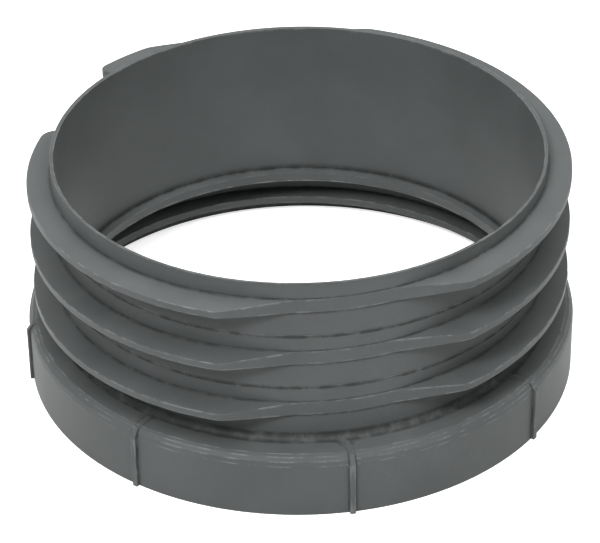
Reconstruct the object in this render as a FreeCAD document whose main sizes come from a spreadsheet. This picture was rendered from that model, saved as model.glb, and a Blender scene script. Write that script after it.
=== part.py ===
import FreeCAD, Part
import math
import os

import Sketcher

# Inspection chamber riser: one moulded ring with a neck, a shoulder and a socket skirt.
# +Z is up, the origin is on the ring's axis in the plane it stands on, and the neck's
# flats face +Y and -Y. Lengths are millimetres and angles are degrees.

SIZES = [
    # the neck and its rim
    ("overall_height", 226.0, "floor to rim"),
    ("neck_bore", 450.0, "clear diameter through the neck"),
    ("neck_wall", 4.0, "thickness of the neck's wall"),
    ("edge_radius", 0.6, "rounding of the rim, the stop and the socket mouth"),
    # the shoulder and the socket skirt
    ("shoulder_height", 62.4, "floor to the top face of the shoulder"),
    ("shoulder_wall", 4.0, "thickness of the shoulder"),
    ("cove_radius", 5.6, "fillet where the neck meets the shoulder"),
    ("corner_width", 7.4, "shoulder corner, measured inwards"),
    ("corner_drop", 9.3, "shoulder corner, measured downwards"),
    ("socket_clearance", 3.0, "between the skirt and the ribs of a neck below"),
    ("skirt_wall", 4.0, "thickness of the skirt's wall"),
    # the stop that the rim of a neck below comes up against
    ("stop_width", 8.5, "how far the stop stands in from the neck's wall"),
    ("stop_rise", 1.4, "upper face of the stop above the shoulder"),
    ("stop_depth", 10.1, "height of the stop's edge"),
    # the three helical ribs round the neck
    ("rib_reach", 22.0, "how far a rib stands out from the neck"),
    ("rib_root", 13.4, "height of a rib at the neck"),
    ("rib_edge", 6.6, "height of a rib at its outer edge"),
    ("rib_lead", 18.8, "climb of a rib in a full turn"),
    ("rib_base", 34.6, "shoulder to the upper side of the lowest rib's start"),
    ("rim_drop", 3.2, "rim to the upper side of the top rib's end"),
    ("rib_start", 153.0, "direction in which each rib starts"),
    ("rib_sweep", 338.0, "angle that each rib runs round"),
    ("rib_nose", 11.0, "rounding of a rib's two ends"),
    ("spare_sweep", 3.0, "length of the rib blanks that is cut off each end"),
    # the two flats across the ribs
    ("flat_inset", 3.4, "how far a flat lies inside the neck's outer face"),
    ("flat_nose", 25.0, "rounding where a flat meets the rib's edge"),
    ("band_proud", 0.6, "how far a rib's root stands out along the flats"),
    # the two cutting guides
    ("guide_gap", 1.8, "end of a rib to the cutting guide above it"),
    ("guide_width", 2.2, "width of a cutting guide"),
    ("guide_depth", 0.6, "depth of a cutting guide"),
    # the helical lug inside the socket, which locks under a rib of the neck below
    ("lug_clearance", 12.5, "between the lug and the neck below"),
    ("lug_root", 14.0, "height of the lug at the skirt"),
    ("lug_edge", 7.4, "height of the lug at its inner edge"),
    ("lug_slope", 4.6, "fall of the lug's upper face towards the axis"),
    ("lug_low", 12.0, "floor to the upper side of the lug's inner edge at its start"),
    ("lug_start", -60.0, "direction in which the lug starts"),
    ("lug_sweep", 300.0, "angle that the lug runs round"),
    # the upright ribs on the skirt
    ("stave_width", 5.0, "width of an upright rib"),
    ("stave_proud", 3.2, "how far an upright rib stands out"),
    ("stave_count", 8, "number of upright ribs"),
]

# Places that follow from the sizes above.
PLACES = [
    ("neck_inner", "neck_bore / 2"),
    ("neck_outer", "neck_inner + neck_wall"),
    ("rib_outer", "neck_outer + rib_reach"),
    ("skirt_inner", "rib_outer + socket_clearance"),
    ("skirt_outer", "skirt_inner + skirt_wall"),
    ("stop_inner", "neck_inner - stop_width"),
    ("stop_top", "shoulder_height + stop_rise"),
    ("stop_under", "stop_top - stop_depth"),
    ("shoulder_under", "shoulder_height - shoulder_wall"),
    ("shoulder_middle", "shoulder_height - shoulder_wall / 2"),
    ("corner_inner", "skirt_outer - corner_width"),
    ("corner_upper_r", "corner_inner + corner_width * sin(30)"),
    ("corner_upper_z", "shoulder_height - corner_drop * (1 - cos(30))"),
    ("corner_lower_r", "corner_inner + corner_width * sin(60)"),
    ("corner_lower_z", "shoulder_height - corner_drop * (1 - cos(60))"),
    ("corner_foot", "shoulder_height - corner_drop"),
    ("rib_heel", "neck_outer - neck_wall / 2"),
    ("rib_climb", "rib_lead * rib_sweep / 360"),
    ("rib_taper", "(rib_root - rib_edge) / 2"),
    ("rib_low", "shoulder_height + rib_base"),
    ("rib_under", "rib_low - rib_root"),
    ("rib_edge_top", "rib_low - rib_taper"),
    ("rib_edge_under", "rib_under + rib_taper"),
    ("rib_spread", "overall_height - rim_drop - rib_climb - rib_low"),
    ("rib_spacing", "rib_spread / 2"),
    ("blank_sweep", "rib_sweep + 2 * spare_sweep"),
    ("blank_start", "rib_start - spare_sweep"),
    ("blank_sink", "-rib_lead * spare_sweep / 360"),
    ("flat_half", "neck_outer - flat_inset"),
    ("band_outer", "neck_outer + band_proud"),
    ("gap_reach", "2 * rib_outer"),
    ("gap_from_x", "gap_reach * cos(rib_start + rib_sweep)"),
    ("gap_from_y", "gap_reach * sin(rib_start + rib_sweep)"),
    ("gap_to_x", "gap_reach * cos(rib_start)"),
    ("gap_to_y", "gap_reach * sin(rib_start)"),
    ("guide_bottom", "rib_low + rib_climb + guide_gap"),
    ("guide_top", "guide_bottom + guide_width"),
    ("guide_floor", "neck_outer - guide_depth"),
    ("guide_clear", "neck_outer + guide_depth"),
    ("lug_inner", "neck_outer + lug_clearance"),
    ("lug_heel", "skirt_inner + skirt_wall / 2"),
    ("lug_top", "lug_low + lug_slope"),
    ("lug_under", "lug_top - lug_root"),
    ("lug_edge_under", "lug_low - lug_edge"),
    ("stave_outer", "skirt_outer + stave_proud"),
    ("stave_heel", "skirt_outer - skirt_wall / 2"),
    ("stave_head_r", "corner_upper_r + stave_proud / 2"),
    ("stave_head_z", "corner_upper_z + stave_proud / 4"),
    ("stave_shoulder_z", "corner_foot + stave_proud / 2"),
]

doc = FreeCAD.newDocument("chamber_riser")
sheet = doc.addObject("Spreadsheet::Sheet", "Sizes")


def fill_sheet():
    """Write the driving sizes and the places that follow from them."""
    for row, (alias, size, note) in enumerate(SIZES, start=1):
        sheet.set(f"A{row}", alias)
        sheet.set(f"B{row}", str(size))
        sheet.setAlias(f"B{row}", alias)
        sheet.set(f"C{row}", note)
    for row, (alias, rule) in enumerate(PLACES, start=len(SIZES) + 2):
        sheet.set(f"A{row}", alias)
        sheet.set(f"B{row}", "=" + rule)
        sheet.setAlias(f"B{row}", alias)
    doc.recompute()


def value(alias):
    """The sheet's present number for one alias."""
    return float(sheet.get(alias))


def origin_feature(body, role):
    """The body's own base plane or axis with this role."""
    return next(item for item in body.Origin.OriginFeatures if item.Role == role)


def new_body(name):
    """An empty PartDesign body."""
    body = doc.addObject("PartDesign::Body", name)
    body.Label = name
    return body


def plane_sketch(body, name, role):
    """A sketch lying on one of the body's base planes."""
    sketch = body.newObject("Sketcher::SketchObject", name)
    sketch.AttachmentSupport = [(origin_feature(body, role), "")]
    sketch.MapMode = "FlatFace"
    return sketch


def measure(name):
    """A place's number, where the name may carry a minus sign or be 'zero'."""
    if name == "zero":
        return 0.0
    return -value(name[1:]) if name.startswith("-") else value(name)


def formula(name):
    """The expression that ties a dimension to a place of the sheet."""
    return f"-<<Sizes>>.{name[1:]}" if name.startswith("-") else f"<<Sizes>>.{name}"


def outline(sketch, corners):
    """Draw a closed outline whose corners are pairs of places, and tie every corner to them."""
    first = sketch.GeometryCount
    count = len(corners)
    points = [FreeCAD.Vector(measure(across), measure(up), 0) for across, up in corners]
    for index, point in enumerate(points):
        sketch.addGeometry(Part.LineSegment(point, points[(index + 1) % count]), False)
    for index in range(count):
        follower = first + (index + 1) % count
        sketch.addConstraint(Sketcher.Constraint("Coincident", first + index, 2, follower, 1))
    for index, names in enumerate(corners):
        corner = (first + index, 1)
        if names == ("zero", "zero"):
            sketch.addConstraint(Sketcher.Constraint("Coincident", *corner, -1, 1))
            continue
        for kind, name, axis in zip(("DistanceX", "DistanceY"), names, (-2, -1)):
            if name == "zero":
                sketch.addConstraint(Sketcher.Constraint("PointOnObject", *corner, axis))
                continue
            number = sketch.addConstraint(
                Sketcher.Constraint(kind, -1, 1, *corner, measure(name))
            )
            sketch.setExpression(f"Constraints[{number}]", formula(name))


def revolve(body, kind, name, sketch):
    """Turn a sketch round the upright axis."""
    feature = body.newObject(kind, name)
    feature.Profile = sketch
    feature.ReferenceAxis = (sketch, ["V_Axis"])
    feature.Angle = 360
    doc.recompute()
    return feature


def ring_edges(shape, radius, height):
    """Names of the full circles of this radius at this height."""
    names = []
    for number, edge in enumerate(shape.Edges, start=1):
        curve = edge.Curve
        if not isinstance(curve, Part.Circle):
            continue
        if abs(curve.Radius - radius) < 0.01 and abs(curve.Center.z - height) < 0.01:
            names.append(f"Edge{number}")
    return names


def upright_edges(shape, is_wanted):
    """Names of the straight upright edges whose foot passes the given test."""
    names = []
    for number, edge in enumerate(shape.Edges, start=1):
        if not isinstance(edge.Curve, Part.Line):
            continue
        start, end = edge.Vertexes[0].Point, edge.Vertexes[-1].Point
        if math.hypot(start.x - end.x, start.y - end.y) < 0.01 and is_wanted(start):
            names.append(f"Edge{number}")
    return names


def round_edges(body, name, base, edge_names, radius_alias):
    """Fillet named edges of the body's last feature."""
    fillet = body.newObject("PartDesign::Fillet", name)
    fillet.Base = (base, edge_names)
    fillet.setExpression("Radius", f"<<Sizes>>.{radius_alias}")
    doc.recompute()
    return fillet


def helix(body, name, sketch, sweep_alias):
    """Carry a section up round the axis with the ribs' lead."""
    feature = body.newObject("PartDesign::AdditiveHelix", name)
    feature.Profile = sketch
    feature.ReferenceAxis = (sketch, ["V_Axis"])
    feature.Mode = 0
    feature.LeftHanded = False
    feature.HasBeenEdited = True
    feature.setExpression("Pitch", "<<Sizes>>.rib_lead")
    feature.setExpression("Height", f"<<Sizes>>.rib_lead * <<Sizes>>.{sweep_alias} / 360")
    doc.recompute()
    return feature


def turn(body, alias):
    """Turn a body about the upright axis by an angle of the sheet."""
    body.Placement = FreeCAD.Placement(
        FreeCAD.Vector(0, 0, 0), FreeCAD.Rotation(FreeCAD.Vector(0, 0, 1), value(alias))
    )
    body.setExpression("Placement.Rotation.Angle", f"<<Sizes>>.{alias}")


def build_shell():
    """The neck, the stop, the shoulder and the skirt, with guides and upright ribs."""
    body = new_body("shell")
    section = plane_sketch(body, "ring_section", "XZ_Plane")
    outline(section, [
        ("neck_inner", "overall_height"),
        ("neck_outer", "overall_height"),
        ("neck_outer", "shoulder_height"),
        ("corner_inner", "shoulder_height"),
        ("corner_upper_r", "corner_upper_z"),
        ("corner_lower_r", "corner_lower_z"),
        ("skirt_outer", "corner_foot"),
        ("skirt_outer", "zero"),
        ("skirt_inner", "zero"),
        ("skirt_inner", "shoulder_under"),
        ("neck_outer", "shoulder_under"),
        ("neck_outer", "stop_under"),
        ("stop_inner", "stop_under"),
        ("stop_inner", "stop_top"),
        ("neck_inner", "stop_top"),
    ])
    ring = revolve(body, "PartDesign::Revolution", "ring", section)
    cove = round_edges(
        body, "cove", ring,
        ring_edges(ring.Shape, value("neck_outer"), value("shoulder_height")), "cove_radius",
    )
    soft = []
    for radius, height in (
        (value("neck_inner"), value("overall_height")),
        (value("neck_outer"), value("overall_height")),
        (value("skirt_inner"), 0.0),
        (value("stop_inner"), value("stop_top")),
    ):
        soft += ring_edges(cove.Shape, radius, height)
    rim = round_edges(body, "rim_edges", cove, soft, "edge_radius")

    cut = plane_sketch(body, "guide_section", "XZ_Plane")
    outline(cut, [
        ("guide_floor", "guide_bottom"),
        ("guide_clear", "guide_bottom"),
        ("guide_clear", "guide_top"),
        ("guide_floor", "guide_top"),
    ])
    guide = revolve(body, "PartDesign::Groove", "cutting_guide", cut)
    if guide.Shape.Volume >= rim.Shape.Volume:
        raise RuntimeError("the cutting guide removes nothing")
    guides = body.newObject("PartDesign::LinearPattern", "cutting_guides")
    guides.Originals = [guide]
    guides.Direction = (origin_feature(body, "Z_Axis"), [""])
    guides.Occurrences = 2
    guides.setExpression("Length", "<<Sizes>>.rib_spacing")
    body.Tip = guides
    doc.recompute()

    side = plane_sketch(body, "stave_section", "XZ_Plane")
    outline(side, [
        ("stave_heel", "zero"),
        ("stave_outer", "zero"),
        ("stave_outer", "stave_shoulder_z"),
        ("stave_head_r", "stave_head_z"),
        ("corner_inner", "shoulder_height"),
        ("corner_inner", "shoulder_middle"),
        ("stave_heel", "corner_foot"),
    ])
    stave = body.newObject("PartDesign::Pad", "stave")
    stave.Profile = side
    stave.SideType = "Symmetric"
    stave.setExpression("Length", "<<Sizes>>.stave_width")
    doc.recompute()
    staves = body.newObject("PartDesign::PolarPattern", "staves")
    staves.Originals = [stave]
    staves.Axis = (origin_feature(body, "Z_Axis"), [""])
    staves.Angle = 360
    staves.setExpression("Occurrences", "<<Sizes>>.stave_count")
    body.Tip = staves
    doc.recompute()
    return body


def build_ribs():
    """The three helical ribs, still square at their ends and without flats."""
    body = new_body("rib_blanks")
    section = plane_sketch(body, "rib_section", "XZ_Plane")
    outline(section, [
        ("rib_heel", "rib_under"),
        ("neck_outer", "rib_under"),
        ("rib_outer", "rib_edge_under"),
        ("rib_outer", "rib_edge_top"),
        ("neck_outer", "rib_low"),
        ("rib_heel", "rib_low"),
    ])
    lowest = helix(body, "lowest_rib", section, "blank_sweep")
    ribs = body.newObject("PartDesign::LinearPattern", "three_ribs")
    ribs.Originals = [lowest]
    ribs.Direction = (origin_feature(body, "Z_Axis"), [""])
    ribs.Occurrences = 3
    ribs.setExpression("Length", "<<Sizes>>.rib_spread")
    body.Tip = ribs
    turn(body, "blank_start")
    body.setExpression("Placement.Base.z", "<<Sizes>>.blank_sink")
    doc.recompute()
    return body


def cut_through(body, name, sketch):
    """Cut a plan sketch out of a body from top to bottom."""
    before = body.Shape.Volume
    pocket = body.newObject("PartDesign::Pocket", name)
    pocket.Profile = sketch
    pocket.SideType = "Symmetric"
    pocket.setExpression("Length", "3 * <<Sizes>>.overall_height")
    doc.recompute()
    if pocket.Shape.Volume >= before:
        raise RuntimeError(f"{name} removes nothing")
    return pocket


def cylinder(body, name, radius_alias):
    """A cylinder round the axis, as tall as the ring, added to a body."""
    disc = body.newObject("PartDesign::AdditiveCylinder", name)
    disc.setExpression("Radius", f"<<Sizes>>.{radius_alias}")
    disc.setExpression("Height", "<<Sizes>>.overall_height")
    doc.recompute()
    return disc


def build_plan():
    """The outline that the neck's ribs keep to from above: flats, rounded ends and the gap."""
    body = new_body("rib_plan")
    cylinder(body, "rib_disc", "rib_outer")
    sides = plane_sketch(body, "flat_sides", "XY_Plane")
    outline(sides, [
        ("-gap_reach", "flat_half"),
        ("gap_reach", "flat_half"),
        ("gap_reach", "gap_reach"),
        ("-gap_reach", "gap_reach"),
    ])
    outline(sides, [
        ("-gap_reach", "-flat_half"),
        ("-gap_reach", "-gap_reach"),
        ("gap_reach", "-gap_reach"),
        ("gap_reach", "-flat_half"),
    ])
    flats = cut_through(body, "flats", sides)
    corners = upright_edges(
        flats.Shape, lambda foot: abs(math.hypot(foot.x, foot.y) - value("rib_outer")) < 0.01
        and abs(abs(foot.y) - value("flat_half")) < 0.01,
    )
    round_edges(body, "flat_noses", flats, corners, "flat_nose")
    cylinder(body, "band_disc", "band_outer")
    wedge = plane_sketch(body, "gap_wedge", "XY_Plane")
    outline(wedge, [
        ("zero", "zero"),
        ("gap_to_x", "gap_to_y"),
        ("gap_from_x", "gap_from_y"),
    ])
    gap = cut_through(body, "gap", wedge)
    ends = upright_edges(
        gap.Shape, lambda foot: abs(math.hypot(foot.x, foot.y) - value("rib_outer")) < 0.01
        and abs(abs(foot.y) - value("flat_half")) > 0.01,
    )
    ends = [name for name in ends if is_rib_end(gap.Shape.getElement(name).Vertexes[0].Point)]
    round_edges(body, "rib_noses", gap, ends, "rib_nose")
    return body


def is_rib_end(foot):
    """Whether a point lies in the direction of a rib's start or end."""
    direction = math.degrees(math.atan2(foot.y, foot.x))
    start = value("rib_start")
    for wanted in (start, start + value("rib_sweep")):
        if abs((direction - wanted + 180) % 360 - 180) < 0.01:
            return True
    return False


def build_lug():
    """The helical lug inside the socket."""
    body = new_body("socket_lug")
    section = plane_sketch(body, "lug_section", "XZ_Plane")
    outline(section, [
        ("lug_heel", "lug_under"),
        ("lug_heel", "lug_top"),
        ("skirt_inner", "lug_top"),
        ("lug_inner", "lug_low"),
        ("lug_inner", "lug_edge_under"),
        ("skirt_inner", "lug_under"),
    ])
    helix(body, "lug_turn", section, "lug_sweep")
    turn(body, "lug_start")
    doc.recompute()
    return body


def check_document():
    """Stop if any object failed to build."""
    for item in doc.Objects:
        if "Invalid" in item.State or "Error" in item.State:
            raise RuntimeError(f"{item.Label} did not build: {item.State}")


def check_part(part):
    """Stop unless the part is one sound solid."""
    shape = part.Shape
    if shape.isNull() or not shape.isValid():
        raise RuntimeError(f"{part.Label} has no sound shape")
    if len(shape.Solids) != 1:
        raise RuntimeError(f"{part.Label} is {len(shape.Solids)} solids, not one")


def main():
    """Build the ring, check it and write it."""
    fill_sheet()
    shell = build_shell()
    blanks = build_ribs()
    plan = build_plan()
    lug = build_lug()

    ribs = doc.addObject("Part::Common", "neck_ribs")
    ribs.Base = blanks
    ribs.Tool = plan
    ring = doc.addObject("Part::MultiFuse", "chamber_riser")
    ring.Label = "chamber_riser"
    ring.Shapes = [shell, ribs, lug]
    ring.Placement = FreeCAD.Placement()
    doc.recompute()

    check_document()
    check_part(ring)
    os.makedirs("parts", exist_ok=True)
    ring.Shape.exportStep(os.path.join("parts", f"{ring.Label}.step"))
    box = ring.Shape.BoundBox
    print(f"{ring.Label}: {ring.Shape.Volume / 1000:.1f} cm3,", end=" ")
    print(f"{box.XLength:.2f} x {box.YLength:.2f} x {box.ZLength:.2f} mm, from z {box.ZMin:.3f}")


main()
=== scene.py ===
"""Inspection chamber riser: the moulded ring's finished surface, its plastic and its setting."""

import logging
import math
from dataclasses import dataclass, field, fields
from enum import Enum

import bpy
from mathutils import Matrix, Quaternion, Vector


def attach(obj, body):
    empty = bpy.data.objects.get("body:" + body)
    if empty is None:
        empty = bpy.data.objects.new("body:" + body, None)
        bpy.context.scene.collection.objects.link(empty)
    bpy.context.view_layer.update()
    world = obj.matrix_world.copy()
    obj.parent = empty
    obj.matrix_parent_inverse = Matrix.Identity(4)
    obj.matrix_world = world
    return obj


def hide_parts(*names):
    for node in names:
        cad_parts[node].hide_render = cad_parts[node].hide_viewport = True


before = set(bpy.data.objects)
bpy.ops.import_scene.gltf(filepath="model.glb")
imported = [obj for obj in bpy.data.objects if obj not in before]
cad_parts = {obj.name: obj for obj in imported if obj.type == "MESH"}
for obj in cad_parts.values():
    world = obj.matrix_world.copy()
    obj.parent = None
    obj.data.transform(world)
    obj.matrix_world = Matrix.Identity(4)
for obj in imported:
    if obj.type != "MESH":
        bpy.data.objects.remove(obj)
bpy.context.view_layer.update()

log = logging.getLogger("chamber_riser")

MM = 0.001
NODE = "chamber_riser"
BODY = "root"
FULL_TURN = 360.0
FAR_GAP = 30.0
TINY = 1e-6

Pair = tuple[float, float]
Colour = tuple[float, float, float]


class Follow(Enum):
    """What a corner of the section moves with as the section goes round the ring."""

    NOTHING = "nothing"
    RIB = "rib"
    LUG = "lug"


class Bend(Enum):
    """Which way the surface turns at a corner of the section."""

    EDGE = "edge"
    CREASE = "crease"


class Side(Enum):
    """The side of a sudden end that a station stands on, in the direction of turning."""

    BEFORE = -1
    ON = 0
    AFTER = 1


@dataclass(frozen=True)
class Corner:
    """One corner of the ring's section, in millimetres.

    A corner that follows a rib or the lug stands on the wall where that has no reach, and
    moves out and up by its two rates for each millimetre of reach.
    """

    radius: float
    height: float
    rounding: float
    bend: Bend
    steps: int = 3
    follows: Follow = Follow.NOTHING
    out_rate: float = 0.0
    up_rate: float = 0.0
    closing: float = 0.0
    stave_out: float = 0.0
    stave_up: float = 0.0
    on_stave: bool = False
    inner: bool = False

    def full(self, reach: float) -> Pair:
        """Give the corner's place at a reach.

        Args:
            reach: How far the rib or the lug stands off its wall.

        Returns:
            The radius and the height of the corner.
        """
        return self.radius + self.out_rate * reach, self.height + self.up_rate * reach


@dataclass
class SectionPoint:
    """One point of the rounded section, with what it needs on its way round."""

    place: Vector
    base: Vector
    grow: Vector
    soften: Vector
    stave_shift: Vector
    close_up: float
    rib_share: float
    lug_share: float
    own_reach: float
    off_stave: float
    inner: float
    bend: Bend | None = None
    edge_gap: float = FAR_GAP
    crease_gap: float = FAR_GAP

    @classmethod
    def rounded(cls, corner: Corner, here: Vector, spot: Vector) -> "SectionPoint":
        """Make a point of a corner's rounding.

        Args:
            corner: The corner.
            here: The corner's place at full reach.
            spot: The point's own place at full reach.

        Returns:
            The point, which follows what its corner follows.
        """
        return cls(
            spot, Vector((corner.radius, corner.height)),
            Vector((corner.out_rate, corner.up_rate)), spot - here,
            Vector((corner.stave_out, corner.stave_up)), corner.closing,
            float(corner.follows is Follow.RIB), float(corner.follows is Follow.LUG),
            float(corner.follows is Follow.NOTHING), float(not corner.on_stave),
            float(corner.inner), corner.bend,
        )

    def halfway(self, other: "SectionPoint") -> "SectionPoint":
        """Make the point midway to another, which moves half with each."""
        shared = [item.name for item in fields(self)][:11]
        return SectionPoint(*((getattr(self, n) + getattr(other, n)) / 2 for n in shared))


@dataclass(frozen=True)
class Station:
    """One direction at which the section is set, with what stands out there."""

    turn: float
    rib_reach: float
    rib_climb: float
    rib_inset: float
    lug_reach: float
    lug_climb: float
    lug_inset: float
    stave: float
    stave_edge_gap: float
    stave_crease_gap: float


@dataclass(frozen=True)
class Neck:
    """The smooth upright wall and its rim."""

    bore: float = 450.0
    wall: float = 4.0
    top: float = 226.0
    rim_rounding: float = 0.6

    @property
    def inner(self) -> float:
        """Radius of the bore."""
        return self.bore / 2

    @property
    def outer(self) -> float:
        """Radius of the outside face."""
        return self.inner + self.wall

    def corners(self) -> list[Corner]:
        """The two edges of the rim, inner one first."""
        return [
            Corner(self.inner, self.top, self.rim_rounding, Bend.EDGE, inner=True),
            Corner(self.outer, self.top, self.rim_rounding, Bend.EDGE),
        ]


class HelicalBand:
    """What the neck's ribs and the socket's lug share: a climb, and two ends to round."""

    start: float
    sweep: float
    lead: float
    end_rounding: float
    end_radius: float

    @property
    def climb(self) -> float:
        """Rise of the band from its start to its end."""
        return self.lead * self.sweep / FULL_TURN

    def along(self, turn: float) -> float:
        """Angle from the band's start."""
        way = (turn - self.start) % FULL_TURN
        return 0.0 if min(way, FULL_TURN - way) < TINY else way

    def from_end(self, turn: float) -> float:
        """Angle from the nearer end of the band."""
        way = self.along(turn)
        return min(way, self.sweep - way)

    def stands(self, turn: float, side: Side) -> bool:
        """Tell whether the band stands out in one direction.

        Args:
            turn: The direction in degrees.
            side: Which side of an end is meant, at the end itself.

        Returns:
            Whether it does.
        """
        way = self.along(turn)
        if way == 0.0:
            return side is not Side.BEFORE
        if abs(way - self.sweep) <= TINY:
            return side is not Side.AFTER
        return way < self.sweep

    def climb_at(self, turn: float) -> float:
        """Give how far the band has risen in one direction.

        Args:
            turn: The direction in degrees.

        Returns:
            The rise from its start, which runs back to nothing across the gap.
        """
        way = self.along(turn)
        if way <= self.sweep + TINY:
            return self.lead * way / FULL_TURN
        return self.climb * (FULL_TURN - way) / (FULL_TURN - self.sweep)

    def rounded_off(self, turn: float, radius: float) -> float:
        """Give how much the rounding of an end takes off in one direction.

        Args:
            turn: The direction in degrees.
            radius: The rounding's radius.

        Returns:
            The depth taken off, which is nothing past the rounding.
        """
        gone = math.radians(self.from_end(turn)) * self.end_radius
        left = max(0.0, radius - gone)
        return radius - math.sqrt(max(0.0, radius ** 2 - left ** 2))

    def inset_at(self, turn: float, side: Side) -> float:
        """Give how far the band's two faces draw in where its end is rounded.

        Args:
            turn: The direction in degrees.
            side: Which side of an end is meant, at the end itself.

        Returns:
            The inset of each face.
        """
        if not self.stands(turn, side):
            return self.end_rounding
        return self.rounded_off(turn, self.end_rounding)

    def end_marks(self, offsets: list[float]) -> list[tuple[float, Side]]:
        """Give the directions that the band's two ends need.

        Args:
            offsets: Angles from an end, inwards, at which its rounding is followed.

        Returns:
            Directions and sides.
        """
        marks: list[tuple[float, Side]] = []
        for end, inwards in ((self.start, 1), (self.start + self.sweep, -1)):
            marks += [(end, Side.BEFORE), (end, Side.AFTER)]
            marks += [(end + inwards * offset, Side.ON) for offset in offsets]
        return marks


@dataclass(frozen=True)
class NeckRibs(HelicalBand):
    """Three helical ribs with two flats across them and rounded ends."""

    wall: float
    count: int = 3
    reach: float = 22.0
    root: float = 13.4
    edge: float = 6.6
    lead: float = 18.8
    lowest: float = 97.0
    highest: float = 222.8
    start: float = 153.0
    sweep: float = 338.0
    nose: float = 11.0
    flat_inset: float = 3.4
    flat_nose: float = 25.0
    band: float = 0.6
    witness: float = 0.22
    witness_half: float = 0.09
    root_rounding: float = 0.8
    edge_rounding: float = 0.5
    end_rounding: float = 0.5
    nose_steps: int = 9
    fillet_steps: int = 4

    @property
    def spacing(self) -> float:
        """Height from one rib to the next."""
        return (self.highest - self.climb - self.lowest) / (self.count - 1)

    @property
    def outer(self) -> float:
        """Radius of a rib's outer edge."""
        return self.wall + self.reach

    @property
    def end_radius(self) -> float:
        """Radius at which the rounding of an end is measured."""
        return self.outer

    @property
    def flat_half(self) -> float:
        """Distance of a flat from the axis."""
        return self.wall - self.flat_inset

    def corners(self, number: int) -> list[Corner]:
        """Give one rib's corners, upper ones first.

        Args:
            number: The rib, counted from 0 at the bottom.

        Returns:
            Root, edge, edge and root, where the rib starts.
        """
        top = self.lowest + number * self.spacing
        under = top - self.root
        rate = (self.root - self.edge) / 2 / self.reach
        rib = {"follows": Follow.RIB}
        return [
            Corner(self.wall, top, self.root_rounding, Bend.CREASE, closing=-1, **rib),
            Corner(self.wall, top, self.edge_rounding, Bend.EDGE, out_rate=1,
                   up_rate=-rate, closing=-1, **rib),
            Corner(self.wall, under, self.edge_rounding, Bend.EDGE, out_rate=1,
                   up_rate=rate, closing=1, **rib),
            Corner(self.wall, under, self.root_rounding, Bend.CREASE, closing=1, **rib),
        ]

    def flat_fillet(self) -> tuple[Vector, float, float]:
        """Give the rounding between a flat and the rib's edge.

        Returns:
            Its centre, with y square to the flat, and where it starts and ends, as angles
            from the middle of the flat.
        """
        along = self.flat_half - self.flat_nose
        across = math.sqrt((self.outer - self.flat_nose) ** 2 - along ** 2)
        return (
            Vector((across, along)),
            math.degrees(math.atan2(across, self.flat_half)),
            math.degrees(math.atan2(across, along)),
        )

    def nose_spread(self) -> float:
        """Angle that the rounded end of a rib takes up."""
        return math.degrees(math.asin(self.nose / (self.outer - self.nose)))

    def far_hit(self, centre: Vector, radius: float, angle: float) -> float:
        """Give where a ray from the axis leaves a circle.

        Args:
            centre: The circle's centre.
            radius: The circle's radius.
            angle: The ray's angle from the y direction, in degrees.

        Returns:
            The distance from the axis.
        """
        ray = Vector((math.sin(math.radians(angle)), math.cos(math.radians(angle))))
        along = centre.dot(ray)
        off = centre.x * ray.y - centre.y * ray.x
        return along + math.sqrt(max(0.0, radius ** 2 - off ** 2))

    def from_flat(self, turn: float) -> float:
        """Angle from the middle of the nearer flat."""
        return abs((turn + FULL_TURN) % (FULL_TURN / 2) - FULL_TURN / 4)

    def reach_at(self, turn: float, side: Side) -> float:
        """Give how far the ribs stand out in one direction.

        Args:
            turn: The direction in degrees.
            side: Which side of a rib's end is meant, at the end itself.

        Returns:
            The reach from the neck's wall.
        """
        if not self.stands(turn, side):
            return 0.0
        plan = self.outer
        aside = self.from_flat(turn)
        centre, fillet_from, fillet_to = self.flat_fillet()
        if aside < fillet_from:
            plan = self.flat_half / math.cos(math.radians(aside))
        elif aside < fillet_to:
            plan = self.far_hit(centre, self.flat_nose, aside)
        spread, from_end = self.nose_spread(), self.from_end(turn)
        if from_end < spread:
            middle = Vector((0.0, self.outer - self.nose))
            plan = self.far_hit(middle, self.nose, spread - from_end)
        least = self.band
        if aside < self.witness_half:
            least += self.witness * (1 - aside / self.witness_half)
        return max(least, plan - self.wall)

    def marks(self) -> list[tuple[float, Side]]:
        """Give the directions that the ribs need.

        Returns:
            Directions and sides of the ends, the noses and the flats.
        """
        spread, hub = self.nose_spread(), self.outer - self.nose
        offsets = [math.degrees(gone / self.outer) for gone in (0.1, 0.25, 0.5)]
        for step in range(1, self.nose_steps + 1):
            bend = math.radians(90 * step / self.nose_steps)
            across = self.nose * math.cos(bend)
            up = hub + self.nose * math.sin(bend)
            offsets.append(spread - math.degrees(math.atan2(across, up)))
        marks = self.end_marks(offsets)
        _, fillet_from, fillet_to = self.flat_fillet()
        band_from = math.degrees(math.acos(self.flat_half / (self.wall + self.band)))
        for middle in (90.0, 270.0):
            marks += [(middle, Side.ON)]
            for sign in (-1, 1):
                for step in range(self.fillet_steps + 1):
                    aside = fillet_from + (fillet_to - fillet_from) * step / self.fillet_steps
                    marks.append((middle + sign * aside, Side.ON))
                marks.append((middle + sign * band_from, Side.ON))
                marks.append((middle + sign * self.witness_half, Side.ON))
                marks.append((middle + sign * 3 * self.witness_half, Side.ON))
        return marks


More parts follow.
